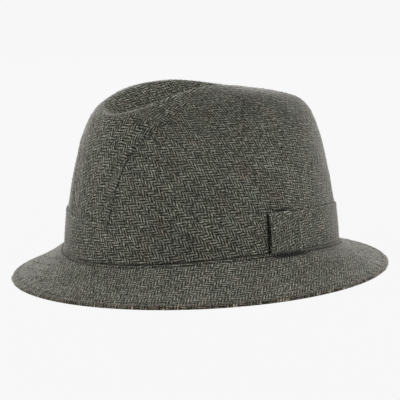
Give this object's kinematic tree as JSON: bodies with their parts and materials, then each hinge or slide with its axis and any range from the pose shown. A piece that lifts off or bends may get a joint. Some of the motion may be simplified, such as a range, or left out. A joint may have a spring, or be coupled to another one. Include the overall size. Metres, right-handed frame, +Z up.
{
  "type": "tweed trilby hat",
  "caption": "Soft herringbone tweed hat with a long dent in its sewn crown, a tweed band with a folded tab, and a brim that slopes down all round.",
  "frame": {"origin": "middle of the brim's edge, on the surface that the hat rests on", "axes": "+Z up; -Y towards the front of the hat; +X towards the wearer's left, where the tab is"},
  "size_m": [0.2506, 0.2846, 0.1348],
  "materials": {
    "crown_tweed": "grey and charcoal herringbone wool tweed, sewn in three panels",
    "band_tweed": "the same tweed cut along the cloth as a flat band",
    "brim_tweed": "the same tweed in two layers, turned and stitched at the edge"
  },
  "bodies": {
    "root": {"crown_centre": "crown_tweed", "crown_side_left": "crown_tweed", "crown_side_right": "crown_tweed", "band": "band_tweed", "band_tab": "band_tweed", "brim": "brim_tweed"}
  },
  "joints": []
}
